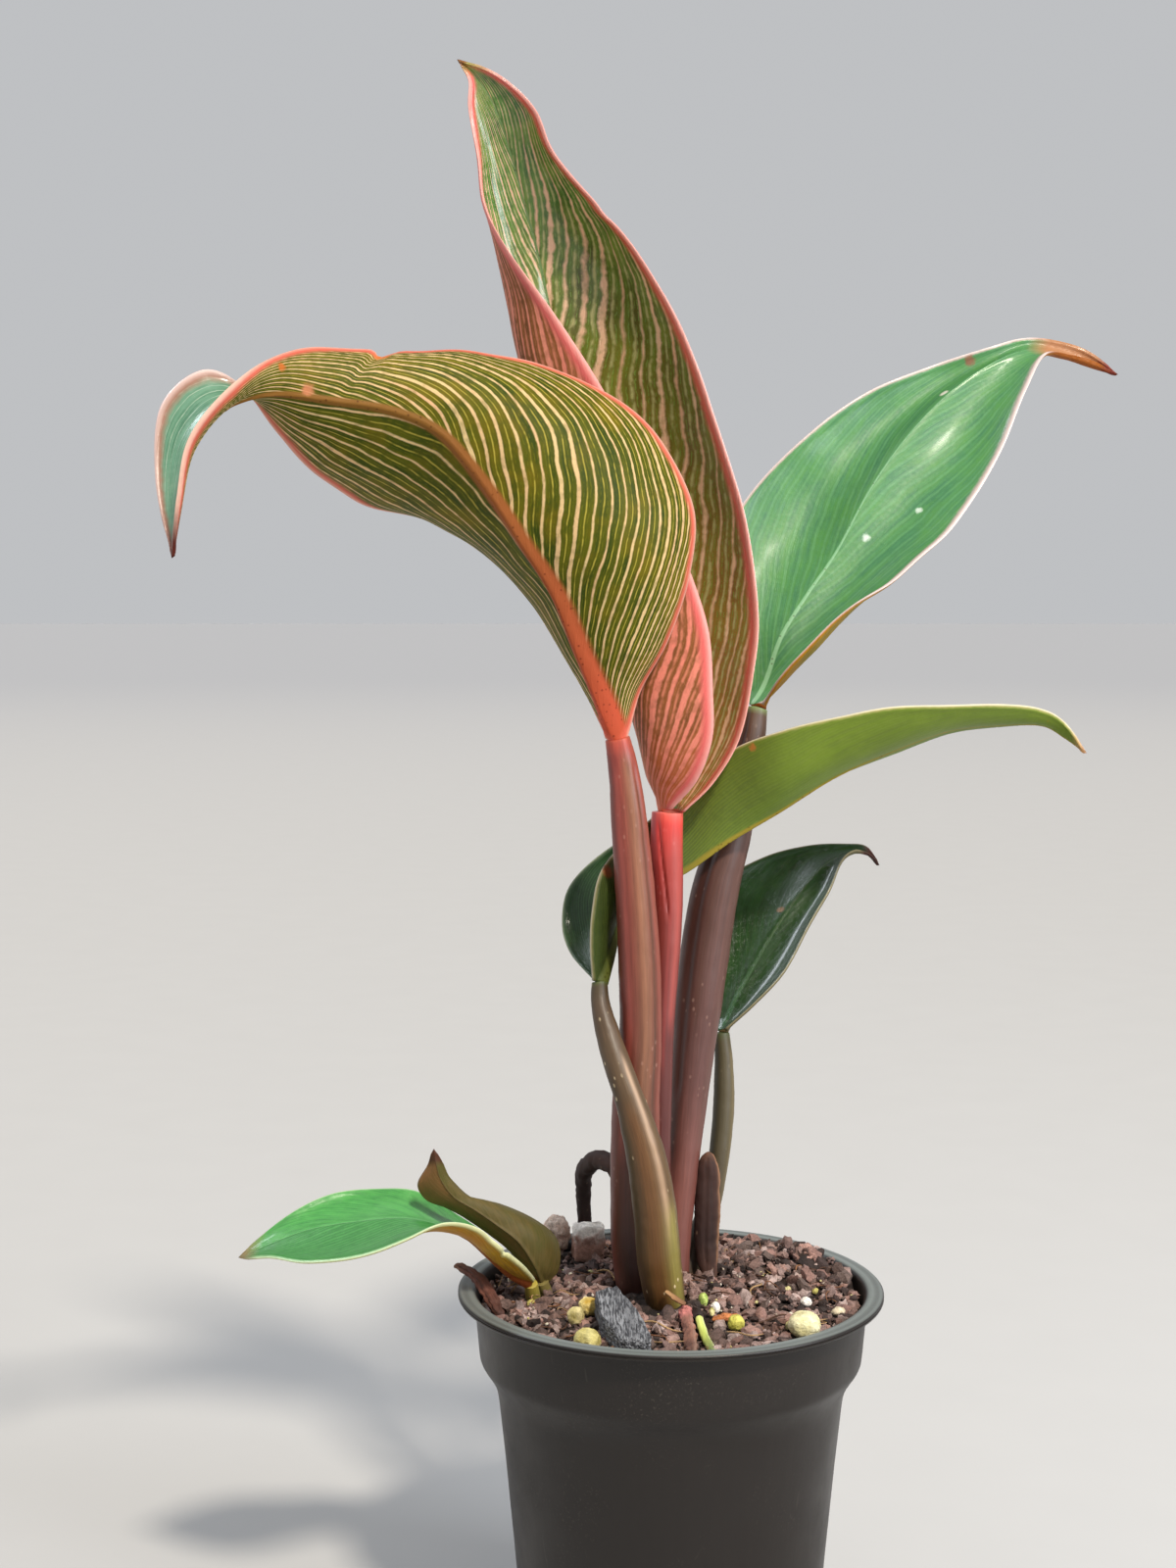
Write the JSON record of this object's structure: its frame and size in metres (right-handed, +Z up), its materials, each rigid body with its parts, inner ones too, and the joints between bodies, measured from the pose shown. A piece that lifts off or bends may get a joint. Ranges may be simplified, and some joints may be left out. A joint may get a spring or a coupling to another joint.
{
  "type": "potted variegated philodendron",
  "caption": "Young philodendron with long pointed striped leaves on tall stalks, one rolled and upright, the rest arching, in a round plastic nursery pot of bark and coir mix.",
  "frame": {"origin": "centre of the pot's flat underside", "axes": "+Z up, -Y to the front, where the arching leaf shows its underside, +X to the right as seen from the front"},
  "size_m": [0.221, 0.1277, 0.361],
  "materials": {
    "pot_plastic": "satin, moulded",
    "potting_mix": "rough and crumbly",
    "striped_leaf": "satin, cream veins on olive",
    "pink_striped_leaf": "satin, pink veins on green and brown",
    "green_leaf": "glossy",
    "dark_green_leaf": "glossy",
    "yellow_green_leaf": "satin",
    "olive_leaf": "satin",
    "red_stalk": "satin, fine stripes",
    "purple_stalk": "satin",
    "olive_stalk": "matt",
    "brown_root": "rough",
    "pale_root": "matt",
    "charcoal": "matt, grained",
    "bark": "rough",
    "rock": "rough",
    "pebble": "dull",
    "perlite": "porous"
  },
  "bodies": {
    "root": {"nursery_pot": "pot_plastic", "potting_mix": "potting_mix", "stem": "brown_root", "side_stem": "brown_root", "stalk_arching": "red_stalk", "leaf_arching": "striped_leaf", "stalk_tall": "red_stalk", "leaf_tall": "pink_striped_leaf", "stalk_broad": "purple_stalk", "leaf_broad": "green_leaf", "stalk_long": "olive_stalk", "leaf_long": "yellow_green_leaf", "stalk_dark": "olive_stalk", "leaf_dark": "dark_green_leaf", "stalk_low": "olive_stalk", "leaf_low": "green_leaf", "stalk_small": "olive_stalk", "leaf_small": "olive_leaf", "aerial_root": "brown_root", "dry_bract": "brown_root", "root_stub": "brown_root", "green_root": "pale_root", "green_bud": "pale_root", "charcoal_chip": "charcoal", "bark_stick": "bark", "bark_flake": "bark", "coir_clod": "bark", "white_rock": "rock", "pebble_large": "pebble", "pebble_front": "pebble", "pebble_left": "pebble", "pebble_small": "pebble", "pebble_yellow": "pebble", "perlite_bead": "perlite", "perlite_grain": "perlite", "perlite_chip": "perlite"}
  },
  "joints": []
}
